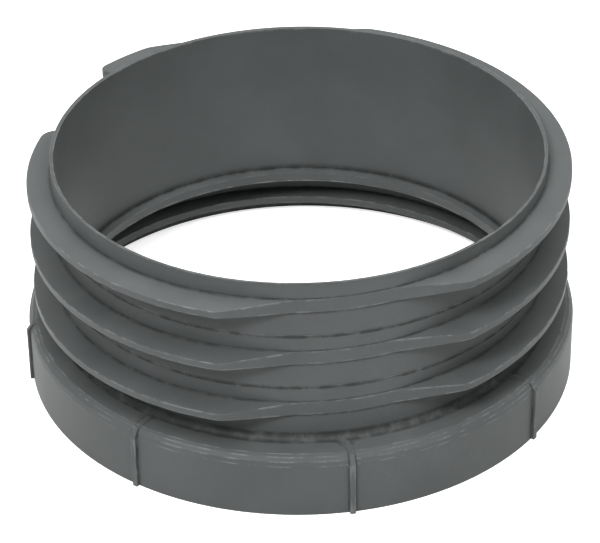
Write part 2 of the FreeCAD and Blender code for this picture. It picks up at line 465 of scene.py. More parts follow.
@dataclass(frozen=True)
class CuttingGuides:
    """The shallow grooves round the neck that a saw follows."""

    wall: float
    lowest: float
    spacing: float
    width: float = 2.2
    depth: float = 0.6
    rounding: float = 0.15

    def corners(self, number: int) -> list[Corner]:
        """Give one groove's corners, upper ones first.

        Args:
            number: The groove, counted from 0 at the bottom.

        Returns:
            The four corners.
        """
        bottom = self.lowest + number * self.spacing
        top = bottom + self.width
        floor = self.wall - self.depth
        return [
            Corner(self.wall, top, self.rounding, Bend.EDGE, 1),
            Corner(floor, top, self.rounding, Bend.CREASE, 1),
            Corner(floor, bottom, self.rounding, Bend.CREASE, 1),
            Corner(self.wall, bottom, self.rounding, Bend.EDGE, 1),
        ]


@dataclass(frozen=True)
class Shoulder:
    """The flat top of the skirt, the cove at its inner edge and the faceted corner outside."""

    neck: Neck
    skirt_outer: float
    height: float = 62.4
    wall: float = 4.0
    cove: float = 5.6
    corner_width: float = 7.4
    corner_drop: float = 9.3
    stave_proud: float = 3.2
    facet_rounding: float = 0.35
    under_rounding: float = 0.8

    def corners(self) -> list[Corner]:
        """The cove and the four corners of the facets, on the way out and down."""
        start = self.skirt_outer - self.corner_width
        places = [
            (start + self.corner_width * math.sin(math.radians(angle)),
             self.height - self.corner_drop * (1 - math.cos(math.radians(angle))))
            for angle in (0, 30, 60, 90)
        ]
        foot = (places[3][0] + self.stave_proud, places[3][1] + self.stave_proud / 2)
        head = (places[1][0] + self.stave_proud / 2, places[1][1] + self.stave_proud / 4)
        staved = [places[0], head, ((foot[0] + head[0]) / 2, (foot[1] + head[1]) / 2), foot]
        facets = [
            Corner(at[0], at[1], self.facet_rounding, Bend.EDGE, 2, on_stave=True,
                   stave_out=to[0] - at[0], stave_up=to[1] - at[1])
            for at, to in zip(places, staved)
        ]
        return [Corner(self.neck.outer, self.height, self.cove, Bend.CREASE, 9)] + facets

    def under_corners(self, skirt_inner: float) -> list[Corner]:
        """Give the corners under the shoulder.

        Args:
            skirt_inner: Radius of the skirt's inside face.

        Returns:
            The outer and the inner corner, both hollow.
        """
        under = self.height - self.wall
        return [
            Corner(skirt_inner, under, self.under_rounding, Bend.CREASE, inner=True),
            Corner(self.neck.outer, under, self.under_rounding, Bend.CREASE, inner=True),
        ]


@dataclass(frozen=True)
class Skirt:
    """The upright wall of the socket."""

    inner: float = 254.0
    wall: float = 4.0
    foot_rounding: float = 0.3
    mouth_rounding: float = 0.6
    stave_proud: float = 3.2

    @property
    def outer(self) -> float:
        """Radius of the outside face."""
        return self.inner + self.wall

    def corners(self) -> list[Corner]:
        """The two edges that the ring stands on, outer one first."""
        return [
            Corner(self.outer, 0.0, self.foot_rounding, Bend.EDGE, 2,
                   stave_out=self.stave_proud, on_stave=True),
            Corner(self.inner, 0.0, self.mouth_rounding, Bend.EDGE, inner=True),
        ]


@dataclass(frozen=True)
class Staves:
    """The upright ribs round the skirt."""

    outer: float
    count: int = 8
    width: float = 5.0
    proud: float = 3.2
    rounding: float = 0.4

    def across(self, turn: float) -> float:
        """Distance from the middle of the nearest stave, measured along its face."""
        pitch = FULL_TURN / self.count
        return abs(math.radians((turn + pitch / 2) % pitch - pitch / 2)) * self.outer

    def share_at(self, turn: float, side: Side) -> float:
        """Give how much of its full height a stave has in one direction.

        Args:
            turn: The direction in degrees.
            side: Which side of a stave's flank is meant, at the flank itself.

        Returns:
            A share from 0 on the skirt to 1 on the stave's face.
        """
        off = self.across(turn)
        half = self.width / 2
        if off < half - self.rounding:
            return 1.0
        if self.is_within(turn, side):
            gone = min(self.rounding, off - half + self.rounding)
            drop = self.rounding - math.sqrt(self.rounding ** 2 - gone ** 2)
            return 1 - drop / self.proud
        if off < half + self.rounding:
            left = min(self.rounding, half + self.rounding - off)
            rise = self.rounding - math.sqrt(self.rounding ** 2 - left ** 2)
            return rise / self.proud
        return 0.0

    def is_within(self, turn: float, side: Side) -> bool:
        """Tell whether a direction is on the stave's side of its flank.

        Args:
            turn: The direction in degrees.
            side: Which side of a flank is meant, at the flank itself.

        Returns:
            Whether the stave stands there.
        """
        off = self.across(turn)
        half = self.width / 2
        if abs(off - half) > 1e-6:
            return off < half
        pitch = FULL_TURN / self.count
        rising = (turn + pitch / 2) % pitch < pitch / 2
        return (side is Side.AFTER) == rising

    def gaps_at(self, turn: float, side: Side) -> Pair:
        """Give how near a stave's edge and its root are.

        Args:
            turn: The direction in degrees.
            side: Which side of a stave's flank is meant, at the flank itself.

        Returns:
            The distances to the edge and to the root, along the surface.
        """
        off = abs(self.across(turn) - self.width / 2)
        gap = min(FAR_GAP, off)
        if self.is_within(turn, side):
            return gap, FAR_GAP if gap > self.rounding else self.proud
        return FAR_GAP if gap > self.rounding else self.proud, gap

    def marks(self) -> list[tuple[float, Side]]:
        """Give the directions that the staves need.

        Returns:
            Directions and sides of the faces, the flanks and the roots.
        """
        half = self.width / 2
        soft = self.rounding
        offs = [half - soft - 0.9, half - soft, half - 0.6 * soft, half - 0.2 * soft,
                half + 0.2 * soft, half + 0.6 * soft, half + soft, half + soft + 1.2]
        marks: list[tuple[float, Side]] = []
        for number in range(self.count):
            middle = number * FULL_TURN / self.count
            marks.append((middle, Side.ON))
            for sign in (-1, 1):
                for off in offs:
                    marks.append((middle + sign * math.degrees(off / self.outer), Side.ON))
                flank = middle + sign * math.degrees(half / self.outer)
                marks += [(flank, Side.BEFORE), (flank, Side.AFTER)]
        return marks


@dataclass(frozen=True)
class SocketLug(HelicalBand):
    """The helical lug inside the socket, which locks under a rib of the neck below."""

    wall: float
    reach: float = 12.5
    root: float = 14.0
    edge: float = 7.4
    slope: float = 4.6
    low: float = 12.0
    lead: float = 18.8
    start: float = 300.0
    sweep: float = 300.0
    rounding: float = 0.5
    end_rounding: float = 0.5
    nose: float = 3.0

    @property
    def end_radius(self) -> float:
        """Radius at which the rounding of an end is measured."""
        return self.wall

    def corners(self) -> list[Corner]:
        """The lug's corners where it starts, lower ones first."""
        top = self.low + self.slope
        under = top - self.root
        fall = -self.slope / self.reach
        lift = (self.low - self.edge - under) / self.reach
        lug = {"follows": Follow.LUG, "inner": True}
        return [
            Corner(self.wall, under, self.rounding, Bend.CREASE, closing=1, **lug),
            Corner(self.wall, under, self.rounding, Bend.EDGE, out_rate=-1,
                   up_rate=lift, closing=1, **lug),
            Corner(self.wall, top, self.rounding, Bend.EDGE, out_rate=-1,
                   up_rate=fall, closing=-1, **lug),
            Corner(self.wall, top, self.rounding, Bend.CREASE, closing=-1, **lug),
        ]

    def reach_at(self, turn: float, side: Side) -> float:
        """Give how far the lug stands in from the skirt in one direction.

        Args:
            turn: The direction in degrees.
            side: Which side of the lug's end is meant, at the end itself.

        Returns:
            The reach from the skirt's wall.
        """
        if not self.stands(turn, side):
            return 0.0
        return self.reach - self.rounded_off(turn, self.nose)

    def marks(self) -> list[tuple[float, Side]]:
        """The directions that the lug's two ends need, with their sides."""
        return self.end_marks([
            math.degrees(gone / self.wall) for gone in (0.15, 0.35, 0.6, 1.1, 1.9, 3.0)
        ])


@dataclass(frozen=True)
class Stop:
    """The ledge inside the foot of the neck that the next part's rim comes up against."""

    neck: Neck
    shoulder: Shoulder
    width: float = 8.5
    rise: float = 1.4
    depth: float = 10.1
    rounding: float = 0.6

    def corners(self) -> list[Corner]:
        """The stop's corners from its outer foot round to the neck's inner face."""
        inner = self.neck.inner - self.width
        top = self.shoulder.height + self.rise
        under = top - self.depth
        return [
            Corner(self.neck.outer, under, self.rounding, Bend.EDGE, inner=True),
            Corner(inner, under, self.rounding, Bend.EDGE, inner=True),
            Corner(inner, top, self.rounding, Bend.EDGE, inner=True),
            Corner(self.neck.inner, top, self.rounding, Bend.CREASE, inner=True),
        ]


class Graph:
    """Adds the nodes of one tree and joins them."""

    def __init__(self, tree: bpy.types.NodeTree) -> None:
        """Start on a tree."""
        self.tree = tree

    def add(self, kind: str, feeds: dict[str | int, object] | None = None,
            **settings: object) -> bpy.types.Node:
        """Add a node.

        Args:
            kind: The node's type name.
            feeds: What goes into its inputs, as values or as other nodes' outputs.
            **settings: The node's own settings.

        Returns:
            The new node.
        """
        node = self.tree.nodes.new(kind)
        for name, setting in settings.items():
            setattr(node, name, setting)
        for key, source in (feeds or {}).items():
            self.feed(node.inputs[key], source)
        node.location = (200 * (len(self.tree.nodes) % 12), -220 * (len(self.tree.nodes) // 12))
        return node

    def feed(self, socket: bpy.types.NodeSocket, source: object) -> None:
        """Join an output to an input, or set the input's own value.

        Args:
            socket: The input.
            source: An output, or a plain value.
        """
        if isinstance(source, bpy.types.NodeSocket):
            self.tree.links.new(source, socket)
        else:
            socket.default_value = source

    def math(self, operation: str, first: object, second: object = 0.0,
             clamp: bool = False) -> bpy.types.NodeSocket:
        """Add a sum on numbers.

        Args:
            operation: The sum's name.
            first: Its first number or output.
            second: Its second number or output.
            clamp: Whether the answer is kept from 0 to 1.

        Returns:
            The answer's output.
        """
        node = self.add("ShaderNodeMath", {0: first, 1: second}, operation=operation,
                        use_clamp=clamp)
        return node.outputs[0]

    def vector(self, operation: str, first: object, second: object) -> bpy.types.NodeSocket:
        """Add a sum on vectors.

        Args:
            operation: The sum's name.
            first: Its first vector.
            second: Its second vector, or the scale.

        Returns:
            The answer's output.
        """
        node = self.add("ShaderNodeVectorMath", {0: first}, operation=operation)
        self.feed(node.inputs["Scale" if operation == "SCALE" else 1], second)
        return node.outputs[0]

    def blend(self, share: object, first: object, second: object) -> bpy.types.NodeSocket:
        """Add a mix of two colours.

        Args:
            share: How much of the second colour shows.
            first: The first colour.
            second: The second colour.

        Returns:
            The mixed colour.
        """
        node = self.add("ShaderNodeMix", data_type="RGBA")
        self.feed(node.inputs[0], share)
        self.feed(node.inputs[6], first)
        self.feed(node.inputs[7], second)
        return node.outputs[2]

    def ramp(self, value: object, low: float, high: float, start: float = 0.0,
             end: float = 1.0) -> bpy.types.NodeSocket:
        """Add a smooth step.

        Args:
            value: What is measured.
            low: Where the step starts.
            high: Where it ends.
            start: The answer below the step.
            end: The answer above it.

        Returns:
            The answer's output.
        """
        node = self.add("ShaderNodeMapRange", {0: value, 1: low, 2: high, 3: start, 4: end},
                        interpolation_type="SMOOTHSTEP")
        return node.outputs[0]

    def noise(self, place: object, scale: object, detail: float = 2.0,
              roughness: float = 0.5) -> bpy.types.NodeSocket:
        """Add a cloud pattern.

        Args:
            place: The coordinates that it follows.
            scale: How many clouds there are to a metre.
            detail: How many finer layers it has.
            roughness: How strong those layers are.

        Returns:
            The pattern's value.
        """
        node = self.add("ShaderNodeTexNoise", {
            "Vector": place, "Scale": scale, "Detail": detail, "Roughness": roughness})
        return node.outputs[0]


@dataclass(frozen=True)
class RingSweep:
    """The node tree that carries the ring's section round its stations."""

    name: str = "ring_sweep"
    vectors: tuple[str, ...] = ("base", "grow", "soften", "close_up", "stave_shift")
    numbers: tuple[str, ...] = ("rib_share", "lug_share", "own_reach", "edge_gap",
                                "crease_gap", "off_stave", "inner")
    station_numbers: tuple[str, ...] = (
        "turn", "rib_reach", "rib_climb", "rib_inset", "lug_reach", "lug_climb", "lug_inset",
        "stave", "stave_edge_gap", "stave_crease_gap")

    def build(self) -> bpy.types.NodeTree:
        """Build the tree.

        Returns:
            A tree that turns a section's points into the whole ring.
        """
        tree = bpy.data.node_groups.new(self.name, "GeometryNodeTree")
        tree.is_modifier = True
        face = tree.interface
        face.new_socket("Section", in_out="INPUT", socket_type="NodeSocketGeometry")
        for label, kind in (
            ("Stations", "NodeSocketObject"), ("Softening reach", "NodeSocketFloat"),
            ("Fading reach", "NodeSocketFloat"),
            ("Sharp angle", "NodeSocketFloat"), ("Weld distance", "NodeSocketFloat"),
            ("Outside plastic", "NodeSocketMaterial"), ("Inside plastic", "NodeSocketMaterial"),
        ):
            face.new_socket(label, in_out="INPUT", socket_type=kind)
        face.new_socket("Ring", in_out="OUTPUT", socket_type="NodeSocketGeometry")

        graph = Graph(tree)
        given = graph.add("NodeGroupInput").outputs
        stations = graph.add("GeometryNodeObjectInfo", {"Object": given["Stations"]})
        around = stations.outputs["Geometry"]
        counts = [
            graph.add("GeometryNodeAttributeDomainSize", {0: shape}).outputs["Point Count"]
            for shape in (around, given["Section"])
        ]
        columns, rows = (graph.math("ADD", count, 1.0) for count in counts)
        grid = graph.add("GeometryNodeMeshGrid", {"Vertices X": columns, "Vertices Y": rows})

        index = graph.add("GeometryNodeInputIndex").outputs[0]
        column = graph.math("FLOOR", graph.math("DIVIDE", graph.math("ADD", index, 0.5), rows))
        row = graph.math("SUBTRACT", index, graph.math("MULTIPLY", column, rows))
        column = graph.math("MODULO", column, counts[0])
        row = graph.math("MODULO", row, counts[1])

        def sample(shape: object, name: str, kind: str, at: object) -> bpy.types.NodeSocket:
            """Read one stored value of a point of a shape."""
            stored = graph.add("GeometryNodeInputNamedAttribute", {"Name": name}, data_type=kind)
            picked = graph.add("GeometryNodeSampleIndex", data_type=kind, domain="POINT")
            graph.feed(picked.inputs["Geometry"], shape)
            graph.feed(picked.inputs["Value"], stored.outputs[0])
            graph.feed(picked.inputs["Index"], at)
            return picked.outputs[0]

        section = {n: sample(given["Section"], n, "FLOAT_VECTOR", row) for n in self.vectors}
        section |= {n: sample(given["Section"], n, "FLOAT", row) for n in self.numbers}
        station = {n: sample(around, n, "FLOAT", column) for n in self.station_numbers}

        def followed(what: str) -> bpy.types.NodeSocket:
            """Take the rib's or the lug's value for a point that follows one of them."""
            rib = graph.math("MULTIPLY", section["rib_share"], station[f"rib_{what}"])
            lug = graph.math("MULTIPLY", section["lug_share"], station[f"lug_{what}"])
            return graph.math("ADD", rib, lug)

        reach = followed("reach")
        known = graph.math("ADD", reach, section["own_reach"])
        soft = graph.math("DIVIDE", known, given["Softening reach"], clamp=True)
        place = graph.vector("ADD", section["base"], graph.vector("SCALE", section["grow"], reach))
        for name, amount in (("soften", soft), ("close_up", followed("inset")),
                             ("stave_shift", station["stave"])):
            place = graph.vector("ADD", place, graph.vector("SCALE", section[name], amount))
        parts = graph.add("ShaderNodeSeparateXYZ", {0: place}).outputs
        height = graph.math("ADD", parts["Z"], followed("climb"))
        turned = graph.add("ShaderNodeCombineXYZ", {
            "X": graph.math("MULTIPLY", parts["X"], graph.math("COSINE", station["turn"])),
            "Y": graph.math("MULTIPLY", parts["X"], graph.math("SINE", station["turn"])),
            "Z": height,
        })

        shape = grid.outputs["Mesh"]
        seen = graph.math("DIVIDE", known, given["Fading reach"], clamp=True)
        plain = graph.math("MULTIPLY", graph.math("SUBTRACT", 1.0, seen), FAR_GAP * MM)
        away = graph.math("MULTIPLY", section["off_stave"], FAR_GAP * MM)
        stored = {
            "edge_gap": graph.math(
                "MINIMUM", graph.math("ADD", section["edge_gap"], plain),
                graph.math("ADD", station["stave_edge_gap"], away)),
            "crease_gap": graph.math(
                "MINIMUM", graph.math("ADD", section["crease_gap"], plain),
                graph.math("ADD", station["stave_crease_gap"], away)),
            "inner": section["inner"],
        }
        for name, value in stored.items():
            shape = graph.add("GeometryNodeStoreNamedAttribute", {
                "Geometry": shape, "Name": name, "Value": value}, data_type="FLOAT",
                domain="POINT").outputs[0]
        shape = graph.add("GeometryNodeSetPosition", {
            "Geometry": shape, "Position": turned.outputs[0]}).outputs[0]
        shape = graph.add("GeometryNodeMergeByDistance", {
            "Geometry": shape, "Distance": given["Weld distance"]}).outputs[0]
        sharp = graph.math(
            "GREATER_THAN", graph.add("GeometryNodeInputMeshEdgeAngle").outputs[0],
            given["Sharp angle"])
        shape = graph.add("GeometryNodeSetShadeSmooth", {
            "Geometry": shape, "Selection": sharp, "Shade Smooth": False},
            domain="EDGE").outputs[0]
        shape = graph.add("GeometryNodeRealizeInstances", {"Geometry": shape}).outputs[0]
        shape = graph.add("GeometryNodeSetMaterial", {
            "Geometry": shape, "Material": given["Outside plastic"]}).outputs[0]
        within = graph.add("GeometryNodeInputNamedAttribute", {"Name": "inner"},
                           data_type="FLOAT").outputs[0]
        shape = graph.add("GeometryNodeSetMaterial", {
            "Geometry": shape, "Selection": graph.math("GREATER_THAN", within, 0.5),
            "Material": given["Inside plastic"]}).outputs[0]
        graph.add("NodeGroupOutput", {0: shape})
        return tree


@dataclass
class RiserRing:
    """The whole moulding as one skin, swept round from its section."""

    neck: Neck = field(default_factory=Neck)
    skirt: Skirt = field(default_factory=Skirt)
    base_step: float = 1.25
    least_step: float = 0.3
    softening: float = 2.0
    fading: float = 0.4
    sharp_angle: float = 52.0
    weld: float = 0.01
    long_span: float = 2.2
    guide_gap: float = 1.8

    def __post_init__(self) -> None:
        """Place the parts that sit on the neck and the skirt."""
        self.ribs = NeckRibs(self.neck.outer)
        guide_bottom = self.ribs.lowest + self.ribs.climb + self.guide_gap
        self.guides = CuttingGuides(self.neck.outer, guide_bottom, self.ribs.spacing)
        self.shoulder = Shoulder(self.neck, self.skirt.outer)
        self.staves = Staves(self.skirt.outer + self.skirt.stave_proud)
        self.lug = SocketLug(self.skirt.inner)
        self.stop = Stop(self.neck, self.shoulder)

    def corners(self) -> list[Corner]:
        """Put the section's corners in order, over the rim, down outside and up inside."""
        order = self.neck.corners()
        for number in reversed(range(self.ribs.count)):
            order += self.ribs.corners(number)
            if number:
                order += self.guides.corners(number - 1)
        order += self.shoulder.corners() + self.skirt.corners() + self.lug.corners()
        return order + self.shoulder.under_corners(self.skirt.inner) + self.stop.corners()

    def full_place(self, corner: Corner) -> Pair:
        """Give a corner's place where its rib or lug has its full reach."""
        return corner.full({
            Follow.NOTHING: 0.0, Follow.RIB: self.ribs.reach, Follow.LUG: self.lug.reach,
        }[corner.follows])

    def section(self) -> list[SectionPoint]:
        """Round the section's corners.

        Returns:
            The section's points in order, with their distances to edges and creases.
        """
        corners = self.corners()
        places = [Vector(self.full_place(corner)) for corner in corners]
        points: list[SectionPoint] = []
        for number, corner in enumerate(corners):
            here = places[number]
            back = (places[number - 1] - here).normalized()
            ahead = (places[(number + 1) % len(places)] - here).normalized()
            half = back.angle(ahead) / 2
            centre = here + (back + ahead).normalized() * corner.rounding / math.sin(half)
            first = here + back * corner.rounding / math.tan(half) - centre
            turn = math.pi - 2 * half
            if first.x * ahead.y - first.y * ahead.x < 0:
                turn = -turn
            for step in range(corner.steps + 1):
                angle = turn * step / corner.steps
                arm = Vector((first.x * math.cos(angle) - first.y * math.sin(angle),
                              first.x * math.sin(angle) + first.y * math.cos(angle)))
                points.append(SectionPoint.rounded(corner, here, centre + arm))
        self.measure_gaps(points)
        self.add_middles(points)
        self.measure_gaps(points)
        return points

    def add_middles(self, points: list[SectionPoint]) -> None:
        """Put a point halfway along each span whose distances rise towards its middle.

        Args:
            points: The rounded section, which gains the points.
        """
        for number in reversed(range(len(points))):
            here, ahead = points[number], points[(number + 1) % len(points)]
            span = (ahead.place - here.place).length
            if span < self.long_span:
                continue
            rises = [
                span / 2 - abs(getattr(here, gap) - getattr(ahead, gap)) / 2
                for gap in ("edge_gap", "crease_gap")
            ]
            if max(rises) > self.long_span / 4:
                points.insert(number + 1, here.halfway(ahead))

    @staticmethod
    def measure_gaps(points: list[SectionPoint]) -> None:
        """Measure how far each point is from the nearest edge and the nearest crease.

        Args:
            points: The section's points, which take the distances.
        """
        count = len(points)
        spans = [
            (points[(n + 1) % count].place - points[n].place).length
            for n in range(count)
        ]
        for bend, name in ((Bend.EDGE, "edge_gap"), (Bend.CREASE, "crease_gap")):
            for number, point in enumerate(points):
                best = 0.0 if point.bend is bend else FAR_GAP
                for way in (1, -1):
                    gone, at = 0.0, number
                    while gone < best:
                        gone += spans[at if way > 0 else at - 1]
                        at = (at + way) % count
                        if points[at].bend is bend:
                            best = min(best, gone)
                setattr(point, name, best)

    def stations(self) -> list[Station]:
        """Choose the directions at which the section is set.

        Returns:
            The stations in order of turning.
        """
        marks = {
            (round(turn % FULL_TURN, 6), side.value)
            for part in (self.ribs, self.staves, self.lug) for turn, side in part.marks()
        }
        taken = sorted(marks)
        for step in range(round(FULL_TURN / self.base_step)):
            turn = round(step * self.base_step, 6)
            if min(abs(turn - mark[0]) for mark in taken) > self.least_step:
                marks.add((turn, Side.ON.value))
        return [self.station(turn, Side(side)) for turn, side in sorted(marks)]

    def station(self, turn: float, side: Side) -> Station:
        """Describe what stands out in one direction.

        Args:
            turn: The direction in degrees.
            side: Which side of a sudden end is meant.

        Returns:
            The station.
        """
        edge_gap, crease_gap = self.staves.gaps_at(turn, side)
        return Station(
            turn,
            self.ribs.reach_at(turn, side), self.ribs.climb_at(turn),
            self.ribs.inset_at(turn, side),
            self.lug.reach_at(turn, side), self.lug.climb_at(turn),
            self.lug.inset_at(turn, side),
            self.staves.share_at(turn, side), edge_gap, crease_gap,
        )

    @staticmethod
    def point_cloud(name: str, vectors: dict[str, list[tuple[float, ...]]],
                    numbers: dict[str, list[float]]) -> bpy.types.Object:
        """Make an object of bare points that carry values.

        Args:
            name: The object's name.
            vectors: Stored vectors, one for each point.
            numbers: Stored numbers, one for each point.

        Returns:
            The object.
        """
        count = len(next(iter(numbers.values())))
        mesh = bpy.data.meshes.new(name)
        mesh.from_pydata([(0.0, 0.0, 0.0)] * count, [], [])
        for kind, table in (("FLOAT_VECTOR", vectors), ("FLOAT", numbers)):
            for key, values in table.items():
                stored = mesh.attributes.new(key, kind, "POINT")
                for item, value in zip(stored.data, values):
                    if kind == "FLOAT":
                        item.value = value
                    else:
                        item.vector = value
        made = bpy.data.objects.new(name, mesh)
        bpy.context.scene.collection.objects.link(made)
        return made

    def section_cloud(self, points: list[SectionPoint]) -> bpy.types.Object:
        """Store the section for the sweep.

        Args:
            points: The section's points.

        Returns:
            An object with one point for each of them.
        """
        def upright(name: str, unit: float) -> list[tuple[float, ...]]:
            """Turn each point's radius and height into a vector."""
            return [(getattr(p, name).x * unit, 0.0, getattr(p, name).y * unit) for p in points]

        vectors = {name: upright(name, MM) for name in ("base", "soften", "stave_shift")}
        vectors["grow"] = upright("grow", 1.0)
        vectors["close_up"] = [(0.0, 0.0, point.close_up) for point in points]
        numbers = {
            name: [getattr(point, name) for point in points]
            for name in ("rib_share", "lug_share", "own_reach", "off_stave", "inner")
        }
        for name in ("edge_gap", "crease_gap"):
            numbers[name] = [getattr(point, name) * MM for point in points]
        return self.point_cloud("section", vectors, numbers)

    def station_cloud(self, stations: list[Station]) -> bpy.types.Object:
        """Store the stations for the sweep.

        Args:
            stations: The stations in order.

        Returns:
            An object with one point for each of them.
        """
        numbers = {
            name: [getattr(station, name) * MM for station in stations]
            for name in RingSweep().station_numbers if name not in ("turn", "stave")
        }
        numbers["turn"] = [math.radians(station.turn) for station in stations]
        numbers["stave"] = [station.stave for station in stations]
        return self.point_cloud("stations", {}, numbers)

    def build(self, outside: bpy.types.Material,
              inside: bpy.types.Material) -> bpy.types.Object:
        """Build the ring's mesh and dress it.

        Args:
            outside: The plastic of the faces that the outer mould shaped.
            inside: The plastic of the faces that the core shaped.

        Returns:
            The finished piece.
        """
        points, stations = self.section(), self.stations()
        host, around = self.section_cloud(points), self.station_cloud(stations)
        sweep = host.modifiers.new("sweep", "NODES")
        sweep.node_group = RingSweep().build()
        given = {
            "Stations": around, "Softening reach": self.softening * MM,
            "Fading reach": self.fading * MM,
            "Sharp angle": math.radians(self.sharp_angle), "Weld distance": self.weld * MM,
            "Outside plastic": outside, "Inside plastic": inside,
        }
        for item in sweep.node_group.interface.items_tree:
            if item.item_type == "SOCKET" and item.name in given:
                sweep[item.identifier] = given[item.name]
        even = host.modifiers.new("even_shading", "WEIGHTED_NORMAL")
        even.mode = "FACE_AREA"
        even.keep_sharp = True
        graph = bpy.context.evaluated_depsgraph_get()
        mesh = bpy.data.meshes.new_from_object(
            host.evaluated_get(graph), preserve_all_data_layers=True, depsgraph=graph)
        for helper in (host, around):
            bpy.data.objects.remove(helper)
        mesh.name = "riser_ring"
        piece = bpy.data.objects.new("riser_ring", mesh)
        bpy.context.scene.collection.objects.link(piece)
        log.info("riser_ring: %d stations of %d points, %d faces",
                 len(stations), len(points), len(mesh.polygons))
        return piece


class MaskGroup:
    """A shader group that turns coordinates and distances into values that vary."""

    def __init__(self, name: str, inputs: dict[str, float | None], outputs: list[str]) -> None:
        """Open a group.

        Args:
            name: The group's name.
            inputs: Its inputs, where None stands for coordinates.
            outputs: Its outputs, all of them numbers.
        """
        self.tree = bpy.data.node_groups.new(name, "ShaderNodeTree")
        for label, value in inputs.items():
            kind = "NodeSocketVector" if value is None else "NodeSocketFloat"
            socket = self.tree.interface.new_socket(label, in_out="INPUT", socket_type=kind)
            if value is not None:
                socket.default_value = value
        for label in outputs:
            self.tree.interface.new_socket(label, in_out="OUTPUT", socket_type="NodeSocketFloat")
        self.graph = Graph(self.tree)
        self.given = self.graph.add("NodeGroupInput").outputs

    def close(self, results: dict[str, bpy.types.NodeSocket]) -> bpy.types.NodeTree:
        """Join the results to the group's outputs.

        Args:
            results: One output of the graph for each of the group's outputs.

        Returns:
            The finished group.
        """
        self.graph.add("NodeGroupOutput", dict(results))
        return self.tree


def moulded_grain() -> bpy.types.NodeTree:
    """Build the fine texture that the mould leaves and the slow unevenness under it.

    Returns:
        A group with a height and a tone, both about 0 to 1.
    """
    group = MaskGroup("moulded_grain", {
        "Position": None, "Grain": 900.0, "Waves": 45.0, "Clouds": 14.0}, ["Height", "Tone"])
    graph, given = group.graph, group.given
    fine = graph.noise(given["Position"], given["Grain"], 3.0, 0.6)
    waves = graph.noise(given["Position"], given["Waves"], 2.0, 0.4)
    clouds = graph.noise(given["Position"], given["Clouds"], 4.0, 0.55)
    height = graph.math("ADD", graph.math("MULTIPLY", fine, 0.35),
                        graph.math("MULTIPLY", waves, 0.65))
    tone = graph.math("ADD", graph.math("MULTIPLY", graph.ramp(clouds, 0.3, 0.7), 0.7),
                      graph.math("MULTIPLY", fine, 0.3))
    return group.close({"Height": height, "Tone": tone})


def edge_rub_and_highlight() -> bpy.types.NodeTree:
    """Build the broken pale line along an edge, part handling wear and part painted highlight.

    Returns:
        A group with a mask.
    """
    group = MaskGroup("edge_rub_and_highlight", {
        "Position": None, "Gap": 0.03, "Width": 0.0009, "Breaks": 60.0}, ["Mask"])
    graph, given = group.graph, group.given
    # Pale within the given width of an edge: handling wear together with a painted highlight.
    near = graph.math("SUBTRACT", 1.0, graph.math("DIVIDE", given["Gap"], given["Width"]),
                      clamp=True)
    broken = graph.ramp(graph.noise(given["Position"], given["Breaks"], 5.0, 0.65), 0.44, 0.62)
    return group.close({"Mask": graph.math("MULTIPLY", near, broken)})


def handling_scuffs() -> bpy.types.NodeTree:
    """Build sparse fine scratches that run mostly round the ring.

    Returns:
        A group with a mask.
    """
    group = MaskGroup("handling_scuffs", {
        "Position": None, "Length": 9.0, "Closeness": 150.0, "Amount": 0.5}, ["Mask"])
    graph, given = group.graph, group.given
    parts = graph.add("ShaderNodeSeparateXYZ", {0: given["Position"]}).outputs
    around = graph.math("ARCTAN2", parts["Y"], parts["X"])
    reach = graph.math("SQRT", graph.math("ADD", graph.math("POWER", parts["X"], 2.0),
                                          graph.math("POWER", parts["Y"], 2.0)))
    slant = graph.math("MULTIPLY", graph.noise(given["Position"], 7.0, 1.0), 0.05)
    stretched = graph.add("ShaderNodeCombineXYZ", {
        "X": graph.math("MULTIPLY", around, given["Length"]),
        "Y": graph.math("MULTIPLY", reach, given["Closeness"]),
        "Z": graph.math("MULTIPLY", graph.math("ADD", parts["Z"], slant), given["Closeness"]),
    })
    lines = graph.noise(stretched.outputs[0], 3.0, 3.0, 0.7)
    thin = graph.ramp(graph.math("ABSOLUTE", graph.math("SUBTRACT", lines, 0.5)), 0.0, 0.012,
                      1.0, 0.0)
    patches = graph.ramp(graph.noise(given["Position"], 11.0, 3.0, 0.6), 0.5, 0.66)
    mask = graph.math("MULTIPLY", graph.math("MULTIPLY", thin, patches), given["Amount"])
    return group.close({"Mask": mask})


def dust_and_crease_shade() -> bpy.types.NodeTree:
    """Build the thin dust that lies on upward faces, and the painted shade that darkens each
    crease.

    Returns:
        A group with a mask for each.
    """
    group = MaskGroup("dust_and_crease_shade", {
        "Position": None, "Upward": 0.0, "Crease gap": 0.03, "Depth": 0.0022}, ["Film", "Crease"])
    graph, given = group.graph, group.given
    clouds = graph.ramp(graph.noise(given["Position"], 34.0, 6.0, 0.62), 0.35, 0.75)
    film = graph.math("MULTIPLY", graph.ramp(given["Upward"], 0.55, 1.0), clouds)
    # Painted shade: dark within the given depth of each crease.
    near = graph.math("SUBTRACT", 1.0,
                      graph.math("DIVIDE", given["Crease gap"], given["Depth"]), clamp=True)
    uneven = graph.ramp(graph.noise(given["Position"], 85.0, 4.0, 0.6), 0.25, 0.6)
    return group.close({"Film": film, "Crease": graph.math("MULTIPLY", near, uneven)})


